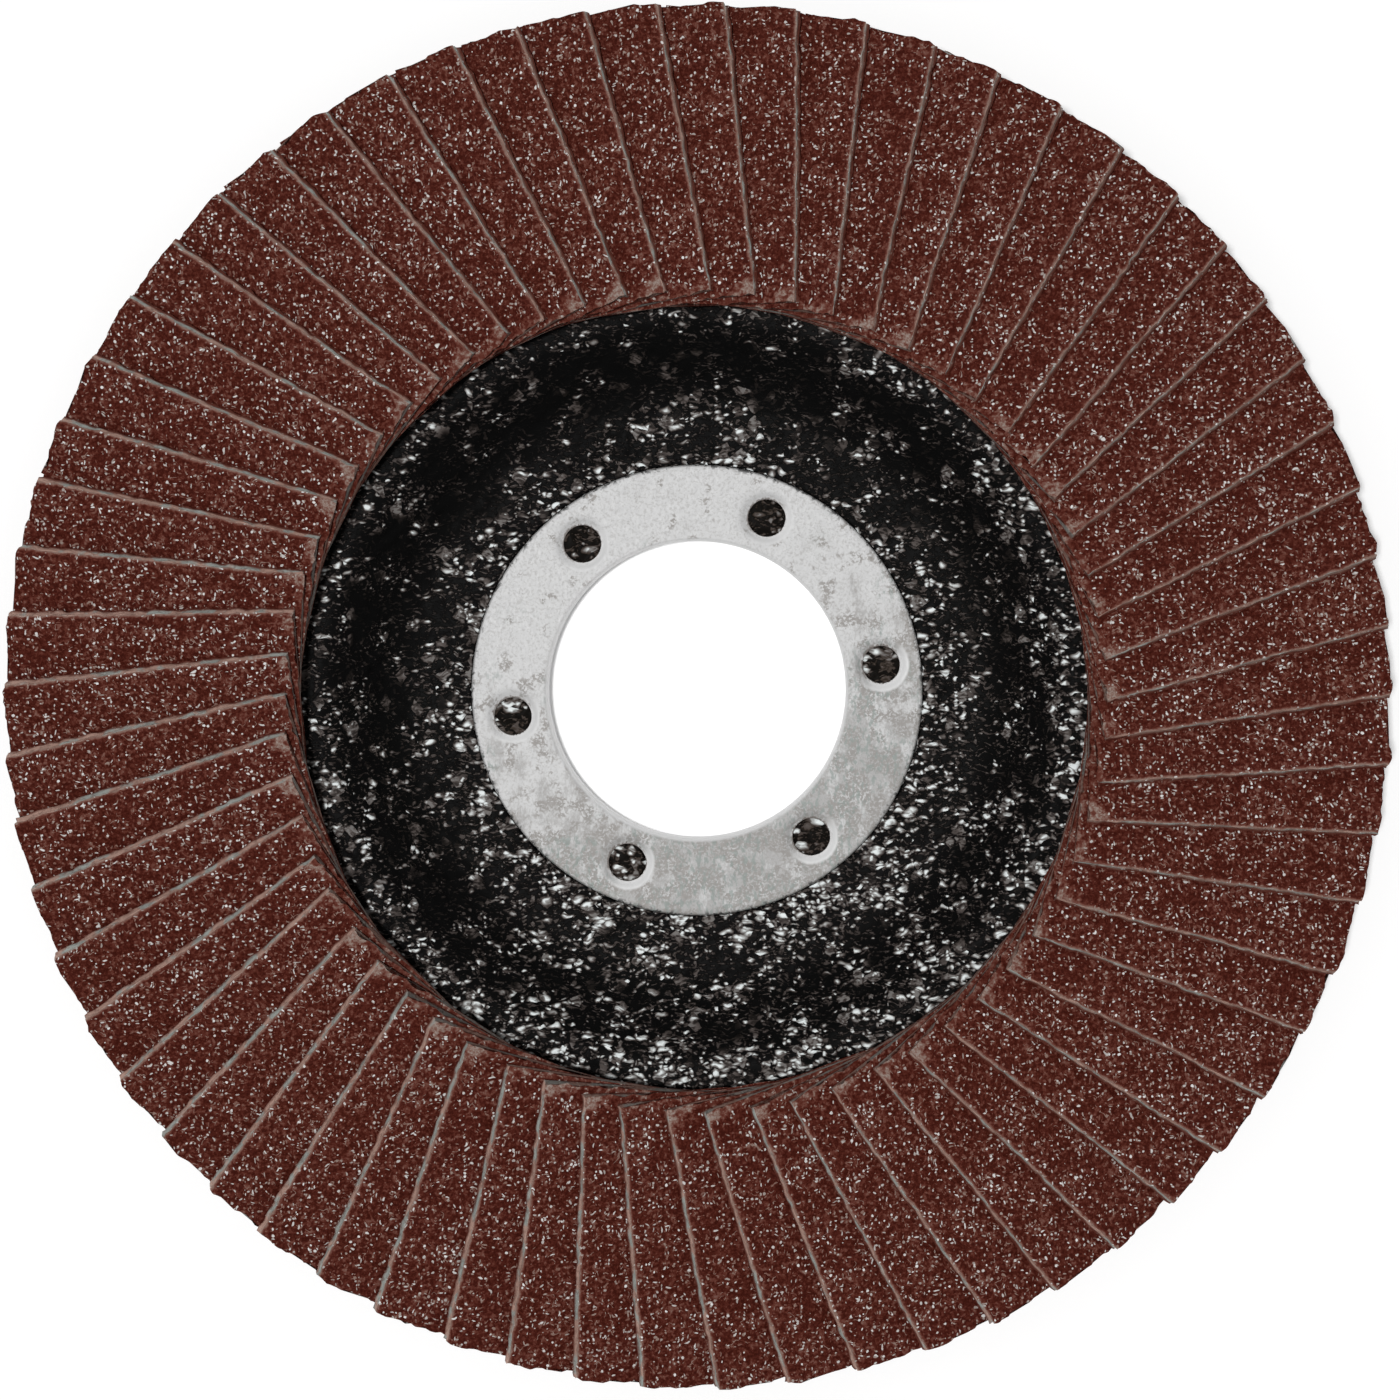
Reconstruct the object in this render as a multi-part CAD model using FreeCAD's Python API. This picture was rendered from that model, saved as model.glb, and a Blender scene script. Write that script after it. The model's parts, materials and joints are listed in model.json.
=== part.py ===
"""Flap disc for an angle grinder: rectangular abrasive cloth flaps, shingled round a dished fibre backing plate.

The disc lies on the flat back of its hub with its working side up. The origin is on the bore axis at that
back face, and +Z points out of the working side. Seen from the working side, each flap lies on the flap
clockwise of it: its free edge faces clockwise, and its other long edge is buried in the resin bed.

Each flap is a flat piece of stiff cloth. One step round the disc lifts it by its own thickness at its inner
end, where the flaps are packed closest, so the pack stands at one tilt and opens like a fan towards the rim.
"""

import FreeCAD, Part

import math
import os

# Overall size, over the corners of the flaps, and the arbor hole.
DISC_DIAMETER = 101.6
BORE_DIAMETER = 22.23

# Abrasive flaps: how many, the cut size of each piece of cloth, and the room left between their inner ends.
FLAP_COUNT = 62
FLAP_WIDTH = 15.4
FLAP_LENGTH = 21.4
FLAP_THICKNESS = 0.8
FLAP_GAP = 0.05
# A free edge lies this far beside the disc's radius that it is parallel to, seen from above.
FREE_EDGE_OFFSET = 6.95
# Direction of the first flap, in degrees anticlockwise from +X.
FIRST_FLAP_ANGLE = 7.5

# Backing plate: moulded glass fibre laminate with a dished centre and a conical rim, set back from the disc's edge.
PLATE_SETBACK = 2.6
HUB_THICKNESS = 2.8
WALL_THICKNESS = 2.5
RIM_THICKNESS = 2.7
RIM_SLOPE = 5.0
DISH_DEPTH = 4.35
HUB_FACE_DIAMETER = 44.4
CROWN_DIAMETER = 54.4
DISH_FOOT_RADIUS = 5.2

# Centre ring: one steel pressing, a holed flange with a short sleeve that lines the bore.
RING_SHEET = 1.0
RING_DIAMETER = 33.6
RING_LEAD = 0.3
RING_SINK = 0.75
SLEEVE_SETBACK = 0.1
RING_CLEARANCE = 0.05
# Holes through the flange that key it to the plate's resin, and the steel left between them and its edge.
KEY_COUNT = 6
KEY_DIAMETER = 2.8
KEY_EDGE = 1.55
KEY_ANGLE = 8.0

# Resin bed between the plate's rim and the undersides of the flaps, set back from the flaps' inner ends
# and from the plate's edge.
BED_THICKNESS = 0.45
BED_INNER_SETBACK = 3.0
BED_OUTER_SETBACK = 1.8
BED_CLEARANCE = 0.02

ORIGIN = FreeCAD.Vector(0, 0, 0)
ALONG = FreeCAD.Vector(1, 0, 0)
ACROSS = FreeCAD.Vector(0, 1, 0)
UP = FreeCAD.Vector(0, 0, 1)

# A rounding takes up at most this share of each of the two runs that it joins.
ROUNDING_SHARE = 0.45

# Levels and radii that follow from the sizes above.
RIM_FALL = math.tan(math.radians(RIM_SLOPE))
CROWN_HEIGHT = HUB_THICKNESS + DISH_DEPTH
PLATE_RADIUS = DISC_DIAMETER / 2 - PLATE_SETBACK
RING_FLOOR = HUB_THICKNESS - RING_SINK
RING_FACE = RING_FLOOR + RING_SHEET
SLEEVE_RADIUS = BORE_DIAMETER / 2 + RING_SHEET
KEY_RADIUS = (RING_DIAMETER - KEY_DIAMETER) / 2 - KEY_EDGE

# The flaps' stance. The rim's fall brings neighbours nearer at the buried edge, so the room there sets the tilt.
FLAP_STEP = 2 * math.pi / FLAP_COUNT
FLAP_REACH = math.sqrt((DISC_DIAMETER / 2) ** 2 - FREE_EDGE_OFFSET**2)
FLAP_PITCH = FLAP_THICKNESS + FLAP_GAP + RIM_FALL * FLAP_STEP * FLAP_WIDTH / 2
FLAP_TILT = math.degrees(math.asin(FLAP_PITCH / (FLAP_STEP * (FLAP_REACH - FLAP_LENGTH))))


def rim_height(radius):
    """Height of the plate's conical rim, on its working side, at a radius from the axis."""
    return CROWN_HEIGHT - RIM_FALL * (radius - CROWN_DIAMETER / 2)


def rounded_face(corners):
    """A face in the XZ half plane through corners (radius, height, rounding), with tangent arcs at the roundings."""
    points = [FreeCAD.Vector(radius, 0, height) for radius, height, _ in corners]
    bends = []
    for index, (_, _, rounding) in enumerate(corners):
        corner = points[index]
        back = points[index - 1] - corner
        ahead = points[(index + 1) % len(points)] - corner
        half_turn = back.getAngle(ahead) / 2
        longest = ROUNDING_SHARE * min(back.Length, ahead.Length)
        reach = min(rounding / math.tan(half_turn), longest)
        rise = reach / math.cos(half_turn) - reach * math.tan(half_turn)
        back.normalize()
        ahead.normalize()
        bends.append((corner + back * reach, corner + (back + ahead).normalize() * rise, corner + ahead * reach))
    edges = []
    for index, (start, middle, end) in enumerate(bends):
        if corners[index][2] > 0:
            edges.append(Part.Arc(start, middle, end).toShape())
        following = bends[(index + 1) % len(bends)][0]
        edges.append(Part.LineSegment(end, following).toShape())
    return Part.Face(Part.Wire(edges))


def turned(corners):
    """The solid that a rounded profile sweeps in one full turn about the axis."""
    return rounded_face(corners).revolve(ORIGIN, UP, 360)


def spread(shape, count, first_angle):
    """Copies of a shape in equal steps round the axis, the first turned by an angle in degrees."""
    copies = []
    for index in range(count):
        copy = shape.copy()
        copy.rotate(ORIGIN, UP, first_angle + 360 * index / count)
        copies.append(copy)
    return copies


def backing_plate():
    """The dished plate, with the pocket for the ring's flange and the bore for its sleeve."""
    bore = SLEEVE_RADIUS + RING_CLEARANCE
    pocket = RING_DIAMETER / 2 + RING_CLEARANCE
    hub = HUB_FACE_DIAMETER / 2
    crown = CROWN_DIAMETER / 2
    rim = PLATE_RADIUS
    # The dish's wall is a cone of its own thickness between the hub's back and the underside of the rim.
    wall_rise = DISH_DEPTH / (crown - hub)
    wall_drop = WALL_THICKNESS * math.hypot(1, wall_rise)
    rim_drop = RIM_THICKNESS * math.hypot(1, RIM_FALL)
    back_foot = hub + (wall_drop - HUB_THICKNESS) / wall_rise
    back_crown = crown + (wall_drop - rim_drop) / (wall_rise + RIM_FALL)
    return turned([
        (bore, 0, 0),
        (back_foot, 0, DISH_FOOT_RADIUS),
        (back_crown, rim_height(back_crown) - rim_drop, 0),
        (rim, rim_height(rim) - rim_drop, 0),
        (rim, rim_height(rim), 0),
        (crown, CROWN_HEIGHT, 0),
        (hub, HUB_THICKNESS, DISH_FOOT_RADIUS),
        (pocket, HUB_THICKNESS, 0),
        (pocket, RING_FLOOR, 0),
        (bore, RING_FLOOR, 0),
    ])


def centre_ring():
    """The pressed ring: the flange in the plate's pocket, the lead into the bore, and the sleeve."""
    bore = BORE_DIAMETER / 2
    flange = RING_DIAMETER / 2
    ring = turned([
        (bore, SLEEVE_SETBACK, 0),
        (SLEEVE_RADIUS, SLEEVE_SETBACK, 0),
        (SLEEVE_RADIUS, RING_FLOOR, 0),
        (flange, RING_FLOOR, 0),
        (flange, RING_FACE, 0),
        (bore + RING_LEAD, RING_FACE, 0),
        (bore, RING_FACE - RING_LEAD, 0),
    ])
    key = Part.makeCylinder(KEY_DIAMETER / 2, RING_SHEET, ALONG * KEY_RADIUS + UP * RING_FLOOR)
    return ring.cut(spread(key, KEY_COUNT, KEY_ANGLE))


def flap_block(drop=0.0, rise=0.0):
    """A flap that points along +X, or a thicker block, from a drop under that flap to a rise over it.

    The flap's free upper edge is its datum: the cloth falls from there to the buried edge by the tilt, and
    towards the rim by the rim's slope. Its lowest edge then comes to lie on the base of the resin bed.
    """
    cloth = Part.makeBox(FLAP_LENGTH, FLAP_WIDTH, FLAP_THICKNESS + drop + rise)
    cloth.translate(FreeCAD.Vector(-FLAP_LENGTH, 0, -FLAP_THICKNESS - drop))
    buried = FreeCAD.Vector(0, FLAP_WIDTH, -FLAP_THICKNESS)
    stance = FreeCAD.Placement(ORIGIN, FreeCAD.Rotation(ACROSS, RIM_SLOPE) * FreeCAD.Rotation(ALONG, -FLAP_TILT))
    buried = stance.multVec(buried) + FreeCAD.Vector(FLAP_REACH, -FREE_EDGE_OFFSET, 0)
    bed = rim_height(math.hypot(buried.x, buried.y)) + BED_THICKNESS
    cloth.Placement = stance.multiply(cloth.Placement)
    cloth.translate(FreeCAD.Vector(FLAP_REACH, -FREE_EDGE_OFFSET, bed - buried.z))
    return cloth


def resin_bed():
    """The cured resin: a ring on the rim that fills the wedges under the flaps, and stops short of both ends."""
    inner = FLAP_REACH - FLAP_LENGTH + BED_INNER_SETBACK
    outer = PLATE_RADIUS - BED_OUTER_SETBACK
    # The block is as high as the flaps stand. What is cut away for them runs out through its top.
    height = BED_THICKNESS + FLAP_WIDTH * math.sin(math.radians(FLAP_TILT))
    block = turned([
        (inner, rim_height(inner), 0),
        (outer, rim_height(outer), 0),
        (outer, rim_height(outer) + height, 0),
        (inner, rim_height(inner) + height, 0),
    ])
    through = 2 * height
    return block.cut(spread(flap_block(BED_CLEARANCE, through), FLAP_COUNT, FIRST_FLAP_ANGLE))


def flap_pairs():
    """The flaps, two to a node: each with the flap half a turn round from it."""
    flaps = spread(flap_block(), FLAP_COUNT, FIRST_FLAP_ANGLE)
    half = (FLAP_COUNT + 1) // 2
    return [Part.makeCompound(flaps[index::half]) for index in range(half)]


def main():
    """Builds every piece and writes one STEP file for each node."""
    nodes = {
        "backing_plate": backing_plate(),
        "centre_ring": centre_ring(),
        "resin_bed": resin_bed(),
    }
    for index, pair in enumerate(flap_pairs()):
        nodes[f"flap_pair_{index + 1:02d}"] = pair
    os.makedirs("parts", exist_ok=True)
    for name, shape in nodes.items():
        shape.exportStep(f"parts/{name}.step")


main()
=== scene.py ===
"""Flap disc for an angle grinder, dressed for the camera.

Abrasive cloth flaps lie shingled round a dished plate of glass fibre laminate, which has a zinc plated steel
ring in its bore. The disc lies on the flat back of its hub with its working side up. Sizes are in
millimetres until a mesh is made, and meshes are in metres.
"""

import json
import logging
import math
from dataclasses import dataclass, field
from enum import Enum
from typing import Any, Optional, Union

import bmesh
import bpy
import numpy as np
from mathutils import Euler, Matrix, Vector

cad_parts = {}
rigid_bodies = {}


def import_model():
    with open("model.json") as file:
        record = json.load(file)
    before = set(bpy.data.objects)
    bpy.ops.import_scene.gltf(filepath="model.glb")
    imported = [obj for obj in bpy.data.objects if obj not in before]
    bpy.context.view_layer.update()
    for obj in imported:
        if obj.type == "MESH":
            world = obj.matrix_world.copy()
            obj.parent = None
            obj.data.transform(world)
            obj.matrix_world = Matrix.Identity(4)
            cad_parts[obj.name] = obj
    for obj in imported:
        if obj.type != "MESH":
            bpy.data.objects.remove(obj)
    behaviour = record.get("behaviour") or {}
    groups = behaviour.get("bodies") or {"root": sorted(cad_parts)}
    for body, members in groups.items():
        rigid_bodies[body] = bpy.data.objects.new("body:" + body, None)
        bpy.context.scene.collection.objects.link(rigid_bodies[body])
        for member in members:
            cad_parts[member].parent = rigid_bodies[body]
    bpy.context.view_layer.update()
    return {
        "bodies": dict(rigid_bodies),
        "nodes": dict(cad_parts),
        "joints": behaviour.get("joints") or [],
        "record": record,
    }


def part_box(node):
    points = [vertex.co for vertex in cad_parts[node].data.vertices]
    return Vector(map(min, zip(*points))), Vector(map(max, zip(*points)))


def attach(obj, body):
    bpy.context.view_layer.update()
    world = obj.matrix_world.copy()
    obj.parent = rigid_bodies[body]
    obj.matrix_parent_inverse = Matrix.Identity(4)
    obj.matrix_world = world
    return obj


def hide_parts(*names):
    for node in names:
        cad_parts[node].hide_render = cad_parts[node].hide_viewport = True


MILLIMETRE = 0.001
BODY = "root"

Array = np.ndarray
Colour = tuple[float, float, float]

log = logging.getLogger("flap_disc")


class Coverage(Enum):
    """How far a run of quads goes round: open at its ends, or closed on itself."""

    OPEN = "open"
    CLOSED = "closed"


class Slot(Enum):
    """Material slots of the record, one for each kind of finish."""

    CLOTH = "abrasive_cloth"
    LAMINATE = "fibre_laminate"
    STEEL = "plated_steel"
    RESIN = "cured_resin"


# Mesh tools


@dataclass
class Surface:
    """Points and faces of one piece, in millimetres, with values that its finish reads at each point."""

    points: Array
    quads: Array
    caps: list[list[int]] = field(default_factory=list)
    marks: Optional[Array] = None

    def joined(self, other: "Surface") -> "Surface":
        """Puts another surface beside this one in the same piece.

        Args:
            other: The surface to add. It has marks if this one has.

        Returns:
            One surface that holds both.
        """
        start = len(self.points)
        marks = None if self.marks is None else np.concatenate([self.marks, other.marks])
        caps = self.caps + [[start + corner for corner in cap] for cap in other.caps]
        points = np.concatenate([self.points, other.points])
        return Surface(points, np.concatenate([self.quads, other.quads + start]), caps, marks)

    def turned(self, angle: float) -> "Surface":
        """The surface turned about the disc's axis by an angle in radians.

        Args:
            angle: The angle, anticlockwise.

        Returns:
            The turned surface.
        """
        cosine, sine = math.cos(angle), math.sin(angle)
        turn = np.array([[cosine, -sine, 0.0], [sine, cosine, 0.0], [0.0, 0.0, 1.0]])
        return Surface(self.points @ turn.T, self.quads, self.caps, self.marks)

    def piece(self, name: str, smooth_angle: float = 60.0, weld: float = 0.0) -> bpy.types.Object:
        """Makes the Blender object of this surface, in the shared frame.

        Args:
            name: The piece's name.
            smooth_angle: Edges that turn by more than this many degrees stay sharp.
            weld: Points nearer than this, in millimetres, become one.

        Returns:
            The new object, with its place in its mesh.
        """
        mesh = bpy.data.meshes.new(name)
        caps = np.array(sum(self.caps, []), dtype=np.int64)
        cap_sizes = np.array([len(cap) for cap in self.caps], dtype=np.int64)
        corners = np.concatenate([self.quads.ravel(), caps])
        sizes = np.concatenate([np.full(len(self.quads), 4), cap_sizes])
        mesh.vertices.add(len(self.points))
        mesh.vertices.foreach_set("co", (self.points * MILLIMETRE).astype(np.float32).ravel())
        mesh.loops.add(len(corners))
        mesh.loops.foreach_set("vertex_index", corners.astype(np.int32))
        mesh.polygons.add(len(sizes))
        mesh.polygons.foreach_set("loop_start", (np.cumsum(sizes) - sizes).astype(np.int32))
        mesh.update(calc_edges=True)
        if self.marks is not None:
            values = mesh.attributes.new("marks", "FLOAT_VECTOR", "POINT")
            values.data.foreach_set("vector", self.marks.astype(np.float32).ravel())
        if weld > 0:
            work = bmesh.new()
            work.from_mesh(mesh)
            bmesh.ops.remove_doubles(work, verts=work.verts, dist=weld * MILLIMETRE)
            bmesh.ops.recalc_face_normals(work, faces=work.faces)
            work.to_mesh(mesh)
            work.free()
        mesh.shade_smooth()
        mesh.set_sharp_from_angle(angle=math.radians(smooth_angle))
        made = bpy.data.objects.new(name, mesh)
        bpy.context.scene.collection.objects.link(made)
        return made


def grid_quads(rows: int, columns: int, across: Coverage = Coverage.OPEN,
               along: Coverage = Coverage.OPEN) -> Array:
    """Quads of a grid of points that is stored row by row.

    Args:
        rows: Number of rows of points.
        columns: Number of points in each row.
        across: Whether the last point of a row joins its first.
        along: Whether the last row joins the first.

    Returns:
        Whole numbers of shape (quads, 4).
    """
    steps_down = rows if along is Coverage.CLOSED else rows - 1
    steps_over = columns if across is Coverage.CLOSED else columns - 1
    row = np.arange(steps_down)[:, None]
    column = np.arange(steps_over)[None, :]
    below = (row + 1) % rows
    beside = (column + 1) % columns
    corners = [row * columns + column, row * columns + beside, below * columns + beside, below * columns + column]
    return np.stack(corners, axis=-1).reshape(-1, 4)


def smoothstep(low: float, high: float, value: Array) -> Array:
    """The cubic 3t² - 2t³, where t is the value's place from low to high, kept within 0 and 1."""
    place = np.clip((value - low) / (high - low), 0.0, 1.0)
    return place * place * (3.0 - 2.0 * place)


def around(radius: Union[Array, float], turns: Union[Array, float]) -> Array:
    """Points at radii and angles in radians: radius times cosine, and radius times sine."""
    return np.stack([radius * np.cos(turns), radius * np.sin(turns)], axis=-1)


@dataclass(frozen=True)
class Layer:
    """One layer of random heights: its greatest height, its coarseness, and where its lattice is read."""

    height: float
    size: float
    shift: tuple[float, float] = (0.0, 0.0)


@dataclass(frozen=True)
class Roughening:
    """Random heights on a square lattice, blended by smooth steps between its points: the same each run."""

    seed: int
    lattice: int = 256

    def heights(self, across: Array, up: Union[Array, float], *layers: Layer) -> Array:
        """Sum of the heights of some layers at points of a plane.

        Args:
            across: First coordinate of each point.
            up: Second coordinate of each point, or of all of them.
            layers: The layers, in the unit of the coordinates.

        Returns:
            One height for each point.
        """
        table = np.random.default_rng(self.seed).uniform(-1.0, 1.0, (self.lattice, self.lattice))
        total = np.zeros_like(across)
        for layer in layers:
            over, rise = (across + layer.shift[0]) / layer.size, (up + layer.shift[1]) / layer.size
            column, row = np.floor(over), np.floor(rise)
            right, top = over - column, rise - row
            right, top = right * right * (3 - 2 * right), top * top * (3 - 2 * top)
            column, row = column.astype(int) % self.lattice, row.astype(int) % self.lattice
            next_column, next_row = (column + 1) % self.lattice, (row + 1) % self.lattice
            low = table[row, column] * (1 - right) + table[row, next_column] * right
            high = table[next_row, column] * (1 - right) + table[next_row, next_column] * right
            total = total + layer.height * (low * (1 - top) + high * top)
        return total


@dataclass(frozen=True)
class Corner:
    """A corner of a profile: its radius and height, the spacing of points after it, and its rounding's radius."""

    radius: float
    height: float
    spacing: float
    rounding: float = 0.0


def rounded_profile(corners: list[Corner]) -> Array:
    """Walks a closed profile and rounds its corners with arcs.

    Each rounding is a tangent arc. Its tangent length is the rounding's radius over the tangent of half the
    angle between the two sides. Sides and arcs are divided evenly, at about the corner's spacing.

    Args:
        corners: The profile's corners in order.

    Returns:
        Points (radius, height) of shape (points, 2), with no point twice.
    """
    places = np.array([(corner.radius, corner.height) for corner in corners])
    stretches = []
    for index, corner in enumerate(corners):
        here = places[index]
        back = places[index - 1] - here
        ahead = places[(index + 1) % len(corners)] - here
        back, ahead = back / np.linalg.norm(back), ahead / np.linalg.norm(ahead)
        half = math.acos(float(np.clip(back @ ahead, -1.0, 1.0))) / 2
        if corner.rounding == 0:
            stretches.append(here[None, :])
            continue
        reach = corner.rounding / math.tan(half)
        middle = here + (back + ahead) / np.linalg.norm(back + ahead) * corner.rounding / math.sin(half)
        start, end = here + back * reach - middle, here + ahead * reach - middle
        turn = math.atan2(start[0] * end[1] - start[1] * end[0], float(start @ end))
        count = max(2, round(abs(turn) * corner.rounding / corner.spacing))
        turns = math.atan2(start[1], start[0]) + turn * np.arange(count + 1) / count
        stretches.append(middle + around(corner.rounding, turns))
    runs = []
    for index, (corner, stretch) in enumerate(zip(corners, stretches)):
        gap = stretches[(index + 1) % len(corners)][0] - stretch[-1]
        count = max(1, round(float(np.linalg.norm(gap)) / corner.spacing))
        runs.append(stretch)
        runs.append(stretch[-1] + gap * (np.arange(1, count) / count)[:, None])
    return np.concatenate(runs)


def swept_ring(profile: Array, columns: int, closed: Coverage = Coverage.CLOSED, first: float = 0.0) -> Surface:
    """Sweeps a profile round the axis: each point (radius, height) becomes a circle of points.

    Args:
        profile: Points (radius, height).
        columns: Number of points round the axis.
        closed: Whether the profile's last point joins its first.
        first: Angle of the first point, in radians.

    Returns:
        The swept surface, stored circle by circle.
    """
    turns = first + 2 * math.pi * np.arange(columns) / columns
    radius, height = profile[:, :1], profile[:, 1:]
    spread = np.broadcast_to(height, (len(profile), columns))
    points = np.stack([radius * np.cos(turns), radius * np.sin(turns), spread], axis=-1).reshape(-1, 3)
    return Surface(points, grid_quads(len(profile), columns, Coverage.CLOSED, closed))


def lifted(points: Array, shape: tuple[int, int], height: Array) -> Array:
    """Moves the points of a closed grid along its normals.

    The normal at a point is the cross product of the differences to its neighbours in the row and the column.

    Args:
        points: Points of shape (rows * columns, 3).
        shape: Rows and columns. Both close on themselves.
        height: How far each point moves, in the same unit.

    Returns:
        The moved points.
    """
    net = points.reshape(*shape, 3)
    over = np.roll(net, -1, axis=1) - np.roll(net, 1, axis=1)
    down = np.roll(net, -1, axis=0) - np.roll(net, 1, axis=0)
    normal = np.cross(over, down)
    normal /= np.maximum(np.linalg.norm(normal, axis=-1, keepdims=True), 1e-12)
    return points + normal.reshape(-1, 3) * height.reshape(-1, 1)


def settle(made: bpy.types.Object, slot: Slot, finish: bpy.types.Material, *nodes: str) -> None:
    """Gives a new piece its finish and its place among the CAD bodies.

    Args:
        made: The piece.
        slot: Not used.
        finish: Its material.
        nodes: The CAD nodes that it stands for.
    """
    made.data.materials.append(finish)
    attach(made, BODY)
    if nodes:
        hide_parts(*nodes)
    log.info("%s: %d faces", made.name, len(made.data.polygons))


# Material tools


def painted(red: int, green: int, blue: int) -> Colour:
    """Linear colour of a display colour given as 0 to 255."""
    shares = [channel / 255 for channel in (red, green, blue)]
    return tuple(share / 12.92 if share <= 0.04045 else ((share + 0.055) / 1.055) ** 2.4 for share in shares)


class Value:
    """A number that varies over a surface. Arithmetic on it adds Math nodes."""

    def __init__(self, shader: "Shader", socket: bpy.types.NodeSocket) -> None:
        """Wraps an output socket of a shader's node tree."""
        self.shader = shader
        self.socket = socket

    def _math(self, operation: str, *terms: "Number") -> "Value":
        """Adds a Math node on the terms, in order."""
        node = self.shader.node("ShaderNodeMath", {"operation": operation}, dict(enumerate(terms)))
        return Value(self.shader, node.outputs[0])

    def __add__(self, other: "Number") -> "Value":
        """The sum."""
        return self._math("ADD", self, other)

    __radd__ = __add__

    def __sub__(self, other: "Number") -> "Value":
        """The difference."""
        return self._math("SUBTRACT", self, other)

    def __rsub__(self, other: "Number") -> "Value":
        """The difference with this value taken away."""
        return self._math("SUBTRACT", other, self)

    def __mul__(self, other: "Number") -> "Value":
        """The product."""
        return self._math("MULTIPLY", self, other)

    __rmul__ = __mul__

    def __pow__(self, other: "Number") -> "Value":
        """The power."""
        return self._math("POWER", self, other)

    def size(self) -> "Value":
        """The number without its sign."""
        return self._math("ABSOLUTE", self)

    def or_more(self, other: "Number") -> "Value":
        """The larger of two."""
        return self._math("MAXIMUM", self, other)

    def ramp(self, low: float, high: float, start: float = 0.0, end: float = 1.0) -> "Value":
        """A smooth step from start to end while the value goes from low to high.

        Args:
            low: The value where the step starts.
            high: The value where it ends.
            start: The result up to low.
            end: The result from high on.

        Returns:
            The step's result.
        """
        sockets = {"From Min": low, "From Max": high, "To Min": start, "To Max": end, "Value": self}
        node = self.shader.node("ShaderNodeMapRange", {"interpolation_type": "SMOOTHSTEP"}, sockets)
        return Value(self.shader, node.outputs[0])


Number = Union[Value, float]
Hue = Union[Colour, bpy.types.NodeSocket]


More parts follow.
